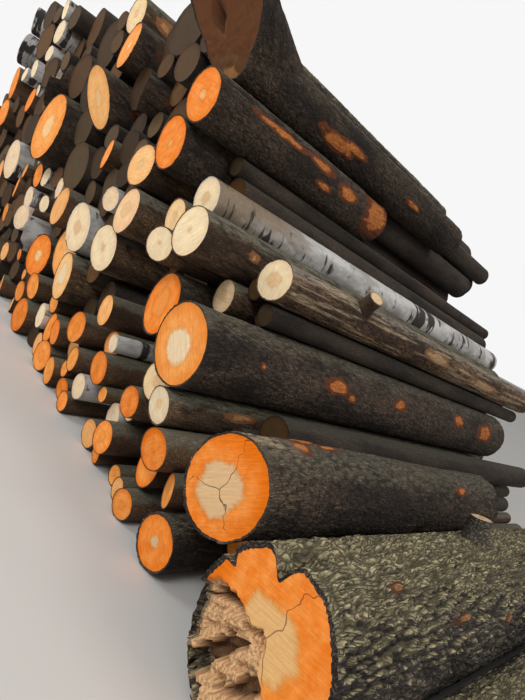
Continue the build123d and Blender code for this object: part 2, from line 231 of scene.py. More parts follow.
class LogPile:
    """Gathers the surfaces of the logs of one piece."""

    def __init__(self):
        self.spots = []
        self.faces = []
        self.slots = []
        self.rows = {"log_place": [], "face_place": [], "face_style": [], "marks": [],
                     "face_tint": [], "heart_tint": [], "bark_tint": []}
        self.count = 0

    def add(self, spots, **values):
        """Adds a grid of spots, row by row, with what each spot tells its material."""
        spots = spots.reshape(-1, 3)
        first = self.count
        self.count += len(spots)
        self.spots.append(spots)
        for label, rows in self.rows.items():
            value = np.asarray(values.get(label, (0.0, 0.0, 0.0)), float).reshape(-1, 3)
            rows.append(np.broadcast_to(value, (len(spots), 3)))
        return first

    def cover(self, first, sides, rows, slots, inward=False):
        """Quads between the rows of a grid; slots tells bark (0) or wood (1) for each row."""
        k = np.arange(sides)
        after = (k + 1) % sides
        for row in range(rows - 1):
            near = first + row * sides
            far = near + sides
            quads = np.stack([near + k, near + after, far + after, far + k], axis=1)
            self.faces += (quads[:, ::-1] if inward else quads).tolist()
            self.slots += [slots[row]] * sides

    def finish(self, node, bark):
        """One mesh out of all the surfaces, in the place of the node."""
        name = node.replace("_logs", "_wood").replace("_log", "_wood")
        mesh = bpy.data.meshes.new(name)
        mesh.from_pydata(np.vstack(self.spots).tolist(), [], self.faces)
        mesh.polygons.foreach_set("material_index", self.slots)
        for label, rows in self.rows.items():
            layer = mesh.attributes.new(label, "FLOAT_VECTOR", "POINT")
            layer.data.foreach_set("vector", np.vstack(rows).astype(np.float32).ravel())
        mesh.shade_smooth()
        mesh.materials.append(bark)
        mesh.materials.append(sawn)
        piece = bpy.data.objects.new(name, mesh)
        bpy.context.scene.collection.objects.link(piece)
        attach(piece, "root")
        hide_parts(node)


class Stem:
    """One log between its saw cuts: a cone towards the far tip, bent if wanted."""

    def __init__(self, log, bend=None):
        self.axis = log["axis"]
        self.up = np.array((0.0, 0.0, 1.0)) - self.axis[2] * self.axis
        self.up /= np.linalg.norm(self.up)
        self.side = np.cross(self.axis, self.up)
        self.slope = log["slope"]
        self.butt = log["butt"]
        self.back = log["back"]
        self.bend = bend or (lambda along: (along * 0.0, along * 0.0))
        self.reach = self.to_cut(self.axis, self.butt)
        self.radius = self.slope * self.reach
        self.length = self.reach - self.to_cut(self.axis, self.back)

    def to_cut(self, way, cut, shift=0.0):
        """How far from the tip this way meets a saw cut."""
        return (cut[0] - tip - shift) @ cut[1] / (way @ cut[1])

    def spot(self, turn, rho, part, sink):
        """A spot at this turn and share of the radius, part way between the two cuts."""
        out = np.cos(turn)[..., None] * self.side + np.sin(turn)[..., None] * self.up
        way = self.axis + out * (self.slope * rho)[..., None]
        aside, above = self.bend(part * self.length)
        shift = aside[..., None] * self.side + above[..., None] * self.up
        start = self.to_cut(way, self.butt, shift)
        stop = self.to_cut(way, self.back, shift)
        reach = start + (stop - start) * part - sink
        return tip + way * reach[..., None] + shift


# cells of noise in a metre, where three numbers are given along the log and across
SWELLS = (9.0, 16.0, 16.0)
SCAR_EDGE = (14.0, 34.0, 34.0)
PLATE_BEND = 22.0
BARK_GRIT = 110.0
RIM_FRINGE = 26.0
RIND_CHANGE = 9.0
FACE_DENTS = 60.0
# metres
OVERHANG = 0.008
NEAR_CUT = 0.08
DENT_DEPTH = 0.0025
FLAKE_LAYERS = 5.0
SLIVER_SLOPE = 0.9
# a back end has no torn wood, so a few rings do
BACK_RINGS = 6


def plated_bark(look, seed, along, place):
    """Depth of thick bark under its highest flakes, and where its furrows run."""
    wander = cloud(place * PLATE_BEND, seed + 2, 2)[..., None] - 0.5
    fit = place / np.array((look["plate"] * look["stretch"], look["plate"], look["plate"]))
    furrow = ease(plate_borders(fit + 1.1 * wander, seed), 0.26, 0.03)
    # flakes lie over each other in thin layers with sharp edges
    layers = FLAKE_LAYERS * cloud(place * np.array((0.3, 1.0, 1.0)) * 0.9 / look["plate"], seed + 3, 3)
    flakes = np.floor(layers) + ease(layers - np.floor(layers), 0.3, 0.7)
    # shares of the furrow depth: the furrows, the flakes under the highest one, the grit
    carved = 0.8 * furrow + 0.16 * (3.5 - flakes) + 0.25 * cloud(place * BARK_GRIT, seed + 8, 2)
    # a saw leaves an even edge, so the relief fades towards the cut
    near_cut = 0.35 + 0.65 * ease(along, 0.0, NEAR_CUT)
    return look["furrow"] * near_cut * np.maximum(carved, 0), furrow * near_cut


def grow_log(pile, log, seed, look, sides, rings, bend=None, outline=None, relief=None,
             scars=(), face_relief=None, face_rings=6, bark_rows=1.3):
    """One log from cut to cut: bark, the cut bark rim and both sawn faces.

    look holds what the log is like; bend shifts the axis, outline swells the section,
    relief raises the bark and face_relief sinks the butt face, all in metres. A scar is
    (along, turn, half length, half width, depth); turns are degrees, 0 to the far side,
    90 up and 180 to the near side.
    """
    rng = np.random.default_rng(seed)
    stem = Stem(log, bend)
    radius = stem.radius
    angle = np.linspace(0, 2 * math.pi, sides, endpoint=False)
    around, part = np.meshgrid(angle, np.linspace(0, 1, rings) ** bark_rows, indexing="xy")
    along = part * stem.length
    offset = rng.uniform(-40, 40, 3)
    place = np.stack([along, np.cos(around) * radius, np.sin(around) * radius], axis=-1) + offset

    broad = cloud(place * (1.1, 2.6, 2.6) / radius * 0.25, seed)
    sunk = look["swell"] * (0.65 * broad + 0.35 * cloud(place * SWELLS, seed + 1, 2))
    furrow = np.zeros(around.shape)
    bare = np.zeros(around.shape)
    torn = np.zeros(around.shape)
    if "plate" in look:
        carved, furrow = plated_bark(look, seed, along, place)
        sunk = sunk + carved
    for from_butt, turn, half_length, half_width, depth in scars:
        aside = turn_away(around, math.radians(turn)) * radius
        far = np.hypot((along - from_butt) / half_length, aside / half_width)
        far = far + 0.55 * (cloud(place * SCAR_EDGE, seed + 4, 2) - 0.5)
        scar = ease(far, 1.25, 0.45)
        bare = np.maximum(bare, scar)
        furrow = furrow * (1 - 0.8 * scar)
        sunk = sunk * (1 - 0.7 * scar) + depth * scar
    rho = 1 - sunk / radius
    if relief is not None:
        raised, torn = relief(around, along, place)
        rho = rho + raised / radius
    if outline is not None:
        rho = rho * outline(around, along)
    sink = np.zeros(around.shape)
    fringe = 0.6 * cloud(place[0] * RIM_FRINGE, seed + 5, 2) + 0.4 * rng.uniform(0, 1, sides)
    sink[0] = -look["ragged"] * (fringe - 0.25)
    if face_relief is not None:
        sink[0] += face_relief(angle, rho[0])[0]
        sink[1:4] = np.maximum(0, sink[0] - along[1:4] * SLIVER_SLOPE)
    sink = np.maximum(sink, -OVERHANG)
    first = pile.add(stem.spot(around, rho, part, sink), log_place=place, bark_tint=look["bark"],
                     marks=np.stack([furrow, bare, torn], axis=-1))
    pile.cover(first, sides, rings, [0] * rings)

    # each end: the cut edge of the bark, then the wood in rings down to the middle
    phase = rng.uniform(0, 6.28)
    if "check_turn" in look:
        phase = -CHECK_ARMS / 2 * math.radians(look["check_turn"]) % math.pi
    wood = 1 - look["rind"] * (0.7 + 0.6 * cloud(place[0] * RIND_CHANGE, seed + 6)) / radius
    for at_back, rim in ((0.0, rho[0]), (1.0, rho[-1])):
        steps = np.linspace(1, 0, min(face_rings, BACK_RINGS) if at_back else face_rings)[1:-1] ** 0.9
        level = np.vstack([rim, rim * wood] + [rim * wood * step for step in steps] + [rim * 0.002])
        turns = np.broadcast_to(angle, level.shape)
        here = np.full(level.shape, at_back)
        flat = np.stack([here * stem.length, np.cos(turns) * level * radius,
                         np.sin(turns) * level * radius], axis=-1) + offset
        inset, torn, hollow = np.zeros((3, *level.shape))
        if not at_back:
            inset[0] = sink[0]
            inset[1:] = DENT_DEPTH * (cloud(flat[1:] * FACE_DENTS, seed + 7, 2) - 0.5)
            if face_relief is not None:
                depth, torn, hollow = face_relief(turns, level)
                inset[1:] += depth[1:]
        across = np.stack([np.cos(turns) * level - look["heart_at"][0],
                           np.sin(turns) * level - look["heart_at"][1],
                           np.full(level.shape, radius)], axis=-1)
        tints = [look["face"], look["heart"]]
        if at_back and "back_face" in look:
            tints = [look["back_face"], look["back_face"]]
        first = pile.add(stem.spot(turns, level, here, inset), log_place=flat, face_place=across,
                         marks=np.stack([hollow, np.zeros(level.shape), torn], axis=-1),
                         face_tint=tints[0], heart_tint=tints[1], bark_tint=look["bark"],
                         face_style=(look["heart_size"], phase, look["checks"]))
        pile.cover(first, sides, len(level), [0] + [1] * len(level), inward=not at_back)
    return stem


STUB_FACE_LEVELS = (1.0, 0.86, 0.6, 0.3, 0.01)
STUB_RINGS = 12
COLLAR_TOP = 0.45
COLLAR_SWELL = 0.55


def grow_stub(pile, stem, seed, from_butt, turn, stub_radius, height, look, lean=0.0, sides=28):
    """A cut branch: a short collar that swells into the log, and its sawn end."""
    rng = np.random.default_rng(seed)
    turn = math.radians(turn)
    out = math.cos(turn) * stem.side + math.sin(turn) * stem.up
    reach = stem.reach - from_butt
    base = tip + stem.axis * reach + out * (stem.slope * reach)
    aim = out - math.tan(math.radians(lean)) * stem.axis
    aim /= np.linalg.norm(aim)
    first_side = np.cross(aim, stem.axis)
    first_side /= np.linalg.norm(first_side)
    other_side = np.cross(aim, first_side)
    angle = np.linspace(0, 2 * math.pi, sides, endpoint=False)
    offset = rng.uniform(-40, 40, 3)
    rows = []
    for step in np.linspace(-0.5, 1.0, STUB_RINGS):
        collar = stub_radius * (1 + COLLAR_SWELL * max(0.0, COLLAR_TOP - step) ** 1.3)
        wide = collar * (1 + 0.06 * np.sin(2 * angle + seed) + 0.03 * rng.uniform(-1, 1, sides))
        rows.append(base + aim * (step * height) + (np.cos(angle) * wide)[:, None] * first_side
                    + (np.sin(angle) * wide)[:, None] * other_side)
    spots = np.vstack(rows)
    first = pile.add(spots, log_place=spots + offset, bark_tint=look["bark"], marks=(0.2, 0.0, 0.0))
    pile.cover(first, sides, len(rows), [0] * len(rows))
    top = base + aim * height
    spots = np.vstack([top + (rows[-1] - top) * level for level in STUB_FACE_LEVELS])
    turns = np.tile(angle, len(STUB_FACE_LEVELS))
    far = np.repeat(STUB_FACE_LEVELS, sides)
    across = np.stack([np.cos(turns) * far, np.sin(turns) * far, np.full(len(far), stub_radius)], axis=-1)
    first = pile.add(spots, log_place=spots + offset, face_place=across, face_tint=look["face"],
                     heart_tint=look["heart"], bark_tint=look["bark"],
                     face_style=(0.3, rng.uniform(0, 6.28), 0.4))
    pile.cover(first, sides, len(STUB_FACE_LEVELS), [0] + [1] * len(STUB_FACE_LEVELS))


def dress(node, seed, look, bark, slot, stub=None, **shape):
    """Grows the logs of a node, with a branch stub if it has one, in the node's place."""
    pile = LogPile()
    for log in cones_of(node):
        stem = grow_log(pile, log, seed, look, **shape)
    if stub:
        grow_stub(pile, stem, **stub)
    pile.finish(node, bark)


def put(kind, inputs, tree=None, **settings):
    """Adds a node, with its settings and feeds, to the tree that its feeds come from."""
    if tree is None:
        tree = next(feed.id_data for feed in inputs.values() if isinstance(feed, bpy.types.NodeSocket))
    made = tree.nodes.new("ShaderNode" + kind)
    for name, value in settings.items():
        setattr(made, name, value)
    for name, value in inputs.items():
        if isinstance(value, bpy.types.NodeSocket):
            tree.links.new(value, made.inputs[name])
        else:
            made.inputs[name].default_value = value
    return made


def sums(operation, *values):
    return put("Math", dict(enumerate(values)), operation=operation).outputs[0]


def times(value, factor):
    return sums("MULTIPLY", value, factor)


def times_plus(value, factor, more):
    return sums("MULTIPLY_ADD", value, factor, more)


def minus(value, less):
    return sums("SUBTRACT", value, less)


def larger(value, other):
    return sums("MAXIMUM", value, other)


def tint(colour):
    """A colour socket as it is, or a plain colour with the alpha that sockets want."""
    return colour if isinstance(colour, bpy.types.NodeSocket) else (*colour, 1)


def blend(share, low, high, way="MIX"):
    """Colour between low and high by a share that changes over the surface."""
    made = put("Mix", {0: share, 6: tint(low), 7: tint(high)}, data_type="RGBA", blend_type=way)
    return made.outputs[2]


def toned(colour, value, saturation=1.0, hue=0.5):
    return put("HueSaturation", {"Hue": hue, "Saturation": saturation, "Value": value,
                                 "Color": tint(colour)}).outputs["Color"]


def stretch(value, low, high):
    """A smooth share: 0 at low and 1 at high."""
    made = put("MapRange", {"Value": value, "From Min": low, "From Max": high},
               interpolation_type="SMOOTHSTEP")
    return made.outputs["Result"]


def scaled(place, *sizes):
    return put("VectorMath", {0: place, 1: sizes}, operation="MULTIPLY").outputs[0]


def shifted(place, by, *sizes):
    return put("VectorMath", {0: by, 1: sizes, 2: place}, operation="MULTIPLY_ADD").outputs[0]


def noise(place, scale, detail=3.0, roughness=0.6, along=None):
    """Noise at a place; along below 1 draws it out along the log."""
    if along is not None:
        place = scaled(place, along, 1.0, 1.0)
    return put("TexNoise", {"Vector": place, "Scale": scale, "Detail": detail,
                            "Roughness": roughness}).outputs["Fac"]


def centred(value):
    return minus(value, 0.5)


def attribute(tree, name):
    return put("Attribute", {}, tree, attribute_name=name).outputs["Vector"]


def parts_of(vector):
    return put("SeparateXYZ", {0: vector}).outputs


def new_effect(name, **ins):
    """A shader node group; an input with None is a vector, one with a number a value."""
    group = bpy.data.node_groups.new(name, "ShaderNodeTree")
    for label, value in ins.items():
        kind = "NodeSocketVector" if value is None else "NodeSocketFloat"
        socket = group.interface.new_socket(label, in_out="INPUT", socket_type=kind)
        if value is not None:
            socket.default_value = value
    return group, group.nodes.new("NodeGroupInput").outputs


def end_effect(group, masks):
    """Gives the group an output for each mask."""
    for label in masks:
        group.interface.new_socket(label, in_out="OUTPUT", socket_type="NodeSocketFloat")
    result = group.nodes.new("NodeGroupOutput")
    for label, mask in masks.items():
        group.links.new(mask, result.inputs[label])
    return group


def use_effect(group, inputs):
    return put("Group", inputs, node_tree=group).outputs


def crease(value, width):
    """A dark line where the noise passes its middle value."""
    return stretch(sums("ABSOLUTE", centred(value)), width, 0.0)


def make_bark_grain():
    """Bark drawn out along the log: broad patches, long fissures and fine grit."""
    tree, given = new_effect("bark_grain", Place=None, Fineness=1.0)
    place = given["Place"]
    fit = put("VectorMath", {0: place, "Scale": given["Fineness"]}, operation="SCALE").outputs[0]
    bent = put("TexNoise", {"Vector": fit, "Scale": 8.0, "Detail": 2.0}).outputs["Color"]
    moved = shifted(fit, bent, 0.05, 0.05, 0.05)
    long_place = scaled(moved, 0.22, 1.0, 1.0)
    fissure = crease(noise(long_place, 52.0, 4.0, 0.55), 0.055)
    deep = crease(noise(long_place, 19.0), 0.05)
    # flat plates with a step down to the border between them
    plate_place = scaled(shifted(moved, bent, 0.025, 0.05, 0.05), 0.17, 1.0, 1.0)
    border = put("TexVoronoi", {"Vector": plate_place, "Scale": 64.0},
                 feature="DISTANCE_TO_EDGE").outputs["Distance"]
    plate = stretch(times_plus(noise(long_place, 150.0, 2.0), 0.12, border), 0.05, 0.24)
    lines = larger(larger(times(fissure, 0.6), minus(1.0, plate)), deep)
    grit = noise(moved, 130.0, 4.0, 0.7, along=0.5)
    rough = minus(times(grit, 0.6), times(lines, 0.7))
    return end_effect(tree, {"Patch": noise(place, 4.2, 4.0, along=0.4), "Fissure": lines,
                             "Grit": grit, "Height": times_plus(plate, 0.5, rough)})


def make_top_growth():
    """Lichen and moss that settle where the bark looks to the sky."""
    tree, given = new_effect("top_growth", Place=None, Amount=0.5)
    skyward = parts_of(put("NewGeometry", {}, tree).outputs["Normal"])["Z"]
    cover = noise(given["Place"], 10.0, 6.0, 0.72)
    level = times_plus(skyward, 0.6, times(cover, 0.6))
    over = minus(level, minus(1.05, given["Amount"]))
    return end_effect(tree, {"Growth": stretch(over, -0.05, 0.1),
                             "Tone": noise(given["Place"], 55.0)})


RINGS_IN_A_METRE = 900.0
CHECK_ARMS = 3


def make_end_grain():
    """Sawn end wood: an uneven heart, growth rings, radial checks and saw marks."""
    tree, given = new_effect("end_grain", Face=None, Place=None, Style=None)
    face = parts_of(given["Face"])
    style = parts_of(given["Style"])
    seed = style["Y"]
    strength = style["Z"]
    flat = put("CombineXYZ", {"X": face["X"], "Y": face["Y"], "Z": seed}).outputs[0]
    level = put("CombineXYZ", {"X": face["X"], "Y": face["Y"]}).outputs[0]
    far = put("VectorMath", {0: level}, operation="LENGTH").outputs["Value"]
    turn = sums("ARCTAN2", face["Y"], face["X"])
    round_way = put("CombineXYZ", {"X": sums("COSINE", turn), "Y": sums("SINE", turn), "Z": seed}).outputs[0]
    # the heart ends in fine spikes along the radius, the rings only bend
    wavy = times_plus(centred(noise(flat, 2.1)), 0.5, far)
    jagged = times_plus(centred(noise(round_way, 7.0, 4.0, 0.7)), 0.2, wavy)
    in_metres = times(wavy, face["Z"])
    ring = sums("SINE", times(in_metres, RINGS_IN_A_METRE))
    # checks: crack arms through the heart, painted dark as the shade in them, wandering a little, some longer
    # than others
    wobble = times(centred(noise(flat, 2.4, 2.5, 0.5)), 2.2)
    swing = sums("ADD", times_plus(turn, CHECK_ARMS / 2, seed), wobble)
    off = times(sums("ABSOLUTE", sums("SINE", swing)), far)
    line = minus(1.0, stretch(off, 0.0, times(strength, 0.02)))
    reach = times_plus(noise(round_way, 1.6, 1.0), 3.4, times_plus(strength, 0.7, -1.55))
    inner = stretch(minus(reach, far), 0.0, 0.12)
    check = times(times(line, inner), strength)
    leaned = put("VectorRotate", {"Vector": given["Place"], "Angle": seed, "Axis": (1, 0, 0)}).outputs[0]
    saw = noise(scaled(leaned, 1.0, 9.0, 140.0), 1.0, 3.0, 0.7)
    return end_effect(tree, {"From Heart": jagged, "Ring": ring, "Check": check, "Saw": saw,
                             "Cloud": noise(given["Place"], 16.0, 4.0, 0.65)})


bark_grain = make_bark_grain()
top_growth = make_top_growth()
end_grain = make_end_grain()


def new_material(name):
    material = bpy.data.materials.new(name)
    material.use_nodes = True
    return material, material.node_tree, material.node_tree.nodes["Principled BSDF"]


def feed_surface(shader, colour, mask, roughness, height, strength, depth):
    """Colour, a roughness that follows one mask between two values, and the bumps."""
    tree = shader.id_data
    tree.links.new(colour, shader.inputs["Base Color"])
    rough = put("MapRange", {"Value": mask, "To Min": roughness[0], "To Max": roughness[1]})
    tree.links.new(rough.outputs["Result"], shader.inputs["Roughness"])
    bump = put("Bump", {"Height": height, "Strength": strength, "Distance": depth})
    tree.links.new(bump.outputs["Normal"], shader.inputs["Normal"])


def bark_material(name, dark, light, furrow_shade_tint, growth_tints, growth, wound_tints, fineness,
                  depth=0.006, fissure_share=0.7, torn_tints=((0.30, 0.21, 0.13), (0.50, 0.38, 0.24))):
    """Rough bark: two browns, long fissures painted near black as their shade, growth on top, bare wood in
    the scars.
    """
    material, tree, shader = new_material(name)
    place = attribute(tree, "log_place")
    marks = parts_of(attribute(tree, "marks"))
    bark = use_effect(bark_grain, {"Place": place, "Fineness": fineness})
    green = use_effect(top_growth, {"Place": place, "Amount": growth})
    plates = blend(stretch(bark["Patch"], 0.35, 0.65), dark, light)
    own = blend(1.0, plates, attribute(tree, "bark_tint"), "MULTIPLY")
    grit = stretch(bark["Grit"], 0.3, 0.75)
    shade = toned(own, times_plus(grit, 1.4, 0.35))
    grown = blend(green["Tone"], *growth_tints)
    dressed = blend(times(green["Growth"], 0.8), shade, grown)
    # fissures and relief furrows are painted near black: painted shade in the creases
    cut = larger(times(bark["Fissure"], fissure_share), marks["X"])
    furrow_shaded = blend(times(cut, 0.85), dressed, furrow_shade_tint)
    # a wound has a ragged core of bare wood inside a bruised rim
    rags = noise(place, 30.0, 4.0, 0.7, along=0.4)
    rim = stretch(times_plus(rags, 0.8, marks["Y"]), 0.5, 0.75)
    core = stretch(times_plus(rags, 1.3, marks["Y"]), 1.38, 1.62)
    fresh = toned(wound_tints[1], times_plus(grit, 0.7, 0.6))
    scarred = blend(core, blend(rim, furrow_shaded, wound_tints[0]), fresh)
    fibres = noise(place, 120.0, 4.0, 0.65, along=0.12)
    splinter = blend(stretch(fibres, 0.35, 0.65), *torn_tints)
    shader.inputs["Specular IOR Level"].default_value = 0.22
    feed_surface(shader, blend(marks["Z"], scarred, splinter), bark["Grit"], (0.76, 0.98), bark["Height"],
                 0.85, depth)
    return material


def sawn_material(name, ring_depth, crack_and_hollow_shade, torn_tints):
    """Sawn end wood in the tints that each log brings along."""
    material, tree, shader = new_material(name)
    place = attribute(tree, "log_place")
    style = attribute(tree, "face_style")
    marks = parts_of(attribute(tree, "marks"))
    torn = marks["Z"]
    grain = use_effect(end_grain, {"Face": attribute(tree, "face_place"), "Place": place, "Style": style})
    # patches lighter than the rest, and a redder zone under the bark
    main = attribute(tree, "face_tint")
    patchy = toned(main, 1.10, 0.95, 0.511)
    outer = toned(main, 0.94, 1.03, 0.497)
    mixed = blend(stretch(grain["Cloud"], 0.3, 0.7), main, patchy)
    wood = blend(stretch(grain["From Heart"], 0.62, 1.0), mixed, outer)
    inside = minus(parts_of(style)["X"], grain["From Heart"])
    hearted = blend(stretch(inside, -0.07, 0.07), wood, attribute(tree, "heart_tint"))
    rim = minus(1.0, stretch(sums("ABSOLUTE", inside), 0.0, 0.11))
    rimmed = blend(times(rim, 0.5), hearted, toned(hearted, 0.82, 1.08))
    shade = times_plus(grain["Ring"], ring_depth, times_plus(grain["Saw"], 0.62, 0.67))
    # checks painted dark: painted shade inside the cracks
    crack_shaded = blend(times(grain["Check"], 0.9), toned(rimmed, shade), crack_and_hollow_shade)
    fibres = noise(place, 75.0, 5.0, 0.7, along=0.5)
    splinter = blend(stretch(fibres, 0.38, 0.62), *torn_tints)
    # hollows of torn and hollow butts take the same dark: painted shade in the recesses
    colour = blend(marks["X"], blend(torn, crack_shaded, splinter), crack_and_hollow_shade)
    shader.inputs["Specular IOR Level"].default_value = 0.15
    height = minus(times_plus(fibres, times(torn, 3.0), grain["Saw"]), times(grain["Check"], 1.5))
    feed_surface(shader, colour, grain["Cloud"], (0.6, 0.86), height, 0.6, 0.002)
    return material


ORANGE = (0.85, 0.205, 0.014)
PALE_ORANGE = (0.86, 0.29, 0.055)
CREAM = (0.80, 0.56, 0.31)
PALE_CREAM = (0.84, 0.64, 0.40)
AS_IT_IS = (1, 1, 1)
sawn = sawn_material("sawn_wood", 0.03, (0.07, 0.03, 0.015), ((0.40, 0.20, 0.09), (0.78, 0.50, 0.26)))
mossy_bark = bark_material("mossy_bark", (0.075, 0.060, 0.050), (0.24, 0.20, 0.16), (0.010, 0.008, 0.006),
                           ((0.34, 0.285, 0.14), (0.95, 0.80, 0.47)), 0.37,
                           ((0.12, 0.05, 0.025), (0.45, 0.22, 0.09)), 0.8, depth=0.014, fissure_share=1.0)
giant_look = dict(rind=0.024, swell=0.035, plate=0.030, stretch=6.5, furrow=0.020, ragged=0.024,
                  face=ORANGE, heart=(0.78, 0.45, 0.18), heart_size=0.36, check_turn=112,
                  heart_at=(-0.05, 0.18), checks=0.8, bark=AS_IT_IS)
# each notch of the butt: turn, half width in radians, depth as a share, how far it runs out
NOTCHES = ((76, 0.15, 0.27, 0.95), (27, 0.07, 0.13, 0.35))
# the torn side lies under three lines: height over the middle and rise to the far side
TORN_LIMITS = ((0.10, 0.9), (0.12, 0.12), (0.43, -0.5))
# splinter layers: their number in a radius, the ways across and along them as (far side, up)
LAYER_COUNT = 11
ACROSS_LAYERS = (0.46, 0.89)
ALONG_LAYERS = (2.6, -1.3)
LAYER_DROP = 0.07


def two_lobes(turn, along):
    """The notch between the lobes and a small one beside it, running out along the top."""
    left = 1.0
    for middle, wide, deep, run in NOTCHES:
        off = turn_away(turn, math.radians(middle)) / wide
        left = left - deep * ease(along, run, 0.0) * np.exp(-off ** 2)
    return left


def flat_spots(across, above):
    """Spots of a butt face for the noise that works in three directions."""
    return np.stack([across, above, np.zeros(np.shape(across))], axis=-1)


def splintered_side(turn, level):
    """Torn wood low on the far side, where the stem broke instead of being sawn."""
    across = np.cos(turn) * level
    above = np.sin(turn) * level
    flat = flat_spots(across * 6.0, above * 6.0)
    uneven = 0.3 * (cloud(flat, 31, 3) - 0.5)
    limit = np.min([height + rise * across for height, rise in TORN_LIMITS], axis=0)
    torn = ease(above - limit + uneven, 0.02, -0.02)
    # thin layers that snapped off one behind the other, with holes between them, sunk deeper and painted near
    # black as their shade
    leaning = LAYER_COUNT * (ACROSS_LAYERS[1] * above + ACROSS_LAYERS[0] * across + 0.1 * uneven)
    lengthwise = ALONG_LAYERS[0] * across + ALONG_LAYERS[1] * above
    cells = flat_spots(leaning, lengthwise + 0.4 * np.floor(leaning))
    layers = scramble(np.floor(cells).astype(np.int64), 33)
    hollow = torn * ease(scramble(np.floor(cells * (0.36, 0.9, 1)).astype(np.int64), 37), 0.66, 0.70)
    depth = torn * (0.01 + LAYER_DROP * layers + 0.01 * cloud(flat * 2.0, 34, 2)) + LAYER_DROP * hollow
    return depth, torn, hollow * 0.85


dress("giant_ground_log", 3, giant_look, mossy_bark, "mossy_bark", sides=250, rings=290,
      outline=two_lobes, face_relief=splintered_side, face_rings=30, bark_rows=1.25,
      scars=((0.45, 112, 0.05, 0.020, 0.004), (0.95, 140, 0.10, 0.022, 0.004),
             (1.5, 152, 0.06, 0.025, 0.003)),
      stub=dict(seed=5, from_butt=1.64, turn=78, stub_radius=0.062, height=0.10,
                look=dict(giant_look, face=(0.62, 0.42, 0.24), heart=(0.5, 0.3, 0.15))))

# Mossy ground log: a second old stem on the ground on the near side of the giant
# one, its butt well behind. It carries the same thick plated bark and moss.
dress("mossy_ground_log", 7, dict(giant_look, swell=0.02, furrow=0.011, heart_at=(0, 0.05)),
      mossy_bark, "mossy_bark", sides=120, rings=150, face_rings=8)

# Crooked butt log: thick alder that lies on the giant one, bent upwards, with a
# big pale off-centre heart and long checks. Bark is torn pale behind the saw cut.
alder_bark = bark_material("alder_bark", (0.040, 0.030, 0.024), (0.15, 0.110, 0.078), (0.010, 0.007, 0.005),
                           ((0.12, 0.105, 0.075), (0.30, 0.26, 0.18)), 0.30,
                           ((0.15, 0.045, 0.018), (0.62, 0.20, 0.048)), 1.0)
crooked_look = dict(rind=0.012, swell=0.03, plate=0.030, stretch=2.2, furrow=0.008, ragged=0.014,
                    face=ORANGE, heart=(0.74, 0.48, 0.25), heart_size=0.47, check_turn=96,
                    heart_at=(0.08, -0.11), checks=1.0, bark=(1.25, 1.2, 1.15))
CROOK_HEIGHT = 0.012
CROOK_SWING = 2.2


def crook(along):
    """How far the axis is off to the side and upwards."""
    return 0.0 * along, CROOK_HEIGHT * np.sin(along * CROOK_SWING)


def torn_top(turn, along, place):
    """Pale bark torn loose on the upper side just behind the saw cut."""
    near = ease(along, 0.34, 0.10) * ease(np.abs(turn_away(turn, math.radians(70))), 0.75, 0.4)
    near = near * ease(cloud(place * (16.0, 30.0, 30.0), 41, 3), 0.42, 0.55)
    return near * 0.0, near


dress("crooked_butt_log", 11, crooked_look, alder_bark, "alder", sides=150, rings=170, relief=torn_top,
      bend=crook, face_rings=14,
      scars=((0.42, 62, 0.12, 0.07, 0.004), (0.30, 92, 0.07, 0.05, 0.004), (0.55, 84, 0.10, 0.03, 0.003),
             (1.9, 128, 0.08, 0.04, 0.003)))

# Leaning foot log: short orange face low down under the crooked log, thin bark.
# It leans against its neighbours on the ground.
leaning_look = dict(crooked_look, swell=0.01, heart_size=0.2, heart_at=(0, 0), checks=0.3,
                    check_turn=20, bark=AS_IT_IS)
dress("leaning_foot_log", 13, leaning_look, alder_bark, "alder", sides=80, rings=90)

# Pale heart log and broad shaded log: thick stems of the third layer under dark
# rough bark. Knots and grazed spots show orange along the near side.
pale_look = dict(rind=0.010, swell=0.014, plate=0.024, stretch=2.6, furrow=0.006, ragged=0.014,
                 face=PALE_ORANGE, heart=PALE_CREAM, heart_size=0.42, heart_at=(0.0, -0.05), checks=0.35,
                 bark=(1.05, 1.0, 0.98))
dress("pale_heart_log", 17, pale_look, alder_bark, "pale_wood", sides=130, rings=200, face_rings=12,
      scars=((0.40, 162, 0.022, 0.022, 0.006), (1.06, 158, 0.13, 0.055, 0.005),
             (1.22, 170, 0.05, 0.03, 0.004), (1.80, 156, 0.09, 0.05, 0.005),
             (2.75, 150, 0.10, 0.06, 0.004), (3.3, 160, 0.16, 0.09, 0.004)))
dress("broad_shaded_log", 19, dict(pale_look, face=ORANGE, heart=PALE_ORANGE, heart_at=(0.05, 0)),
      alder_bark, "pale_wood", sides=96, rings=90, face_rings=9)

# Peeled stub log: bark rubbed off in long strips down to light brown bast, torn
# fibre hanging on top, and a sawn branch stub that looks to the near end.
peeled_bark = bark_material("peeled_bark", (0.070, 0.044, 0.030), (0.27, 0.155, 0.085), (0.018, 0.010, 0.006),
                            ((0.26, 0.22, 0.17), (0.52, 0.45, 0.36)), 0.38,
                            ((0.24, 0.12, 0.05), (0.52, 0.33, 0.17)), 1.0, depth=0.004,
                            fissure_share=0.45, torn_tints=((0.20, 0.12, 0.06), (0.52, 0.42, 0.28)))
peeled_look = dict(rind=0.007, swell=0.010, plate=0.022, stretch=5.0, furrow=0.004, ragged=0.012,
                   face=PALE_CREAM, heart=(0.80, 0.52, 0.28), heart_size=0.35, heart_at=(0.05, 0.0),
                   checks=0.7, bark=AS_IT_IS)
FIBRE_HEIGHT = 0.006
BARE_DEPTH = 0.003
FIBRE_TURN = 1.9


def hanging_fibre(turn, along, place):
    """Strips of torn fibre over the top of the log and streaks where the bark came off."""
    strips = cloud(place * (3.0, 60.0, 60.0), 51, 2)
    on_top = ease(np.abs(turn_away(turn, FIBRE_TURN)), 0.8, 0.4)
    tuft = ease(along, 0.75, 0.5) * ease(along, 0.18, 0.28) * on_top
    bare = ease(strips, 0.56, 0.64) * 0.8
    return FIBRE_HEIGHT * tuft * strips - BARE_DEPTH * bare, np.maximum(tuft * ease(strips, 0.46, 0.56), bare)


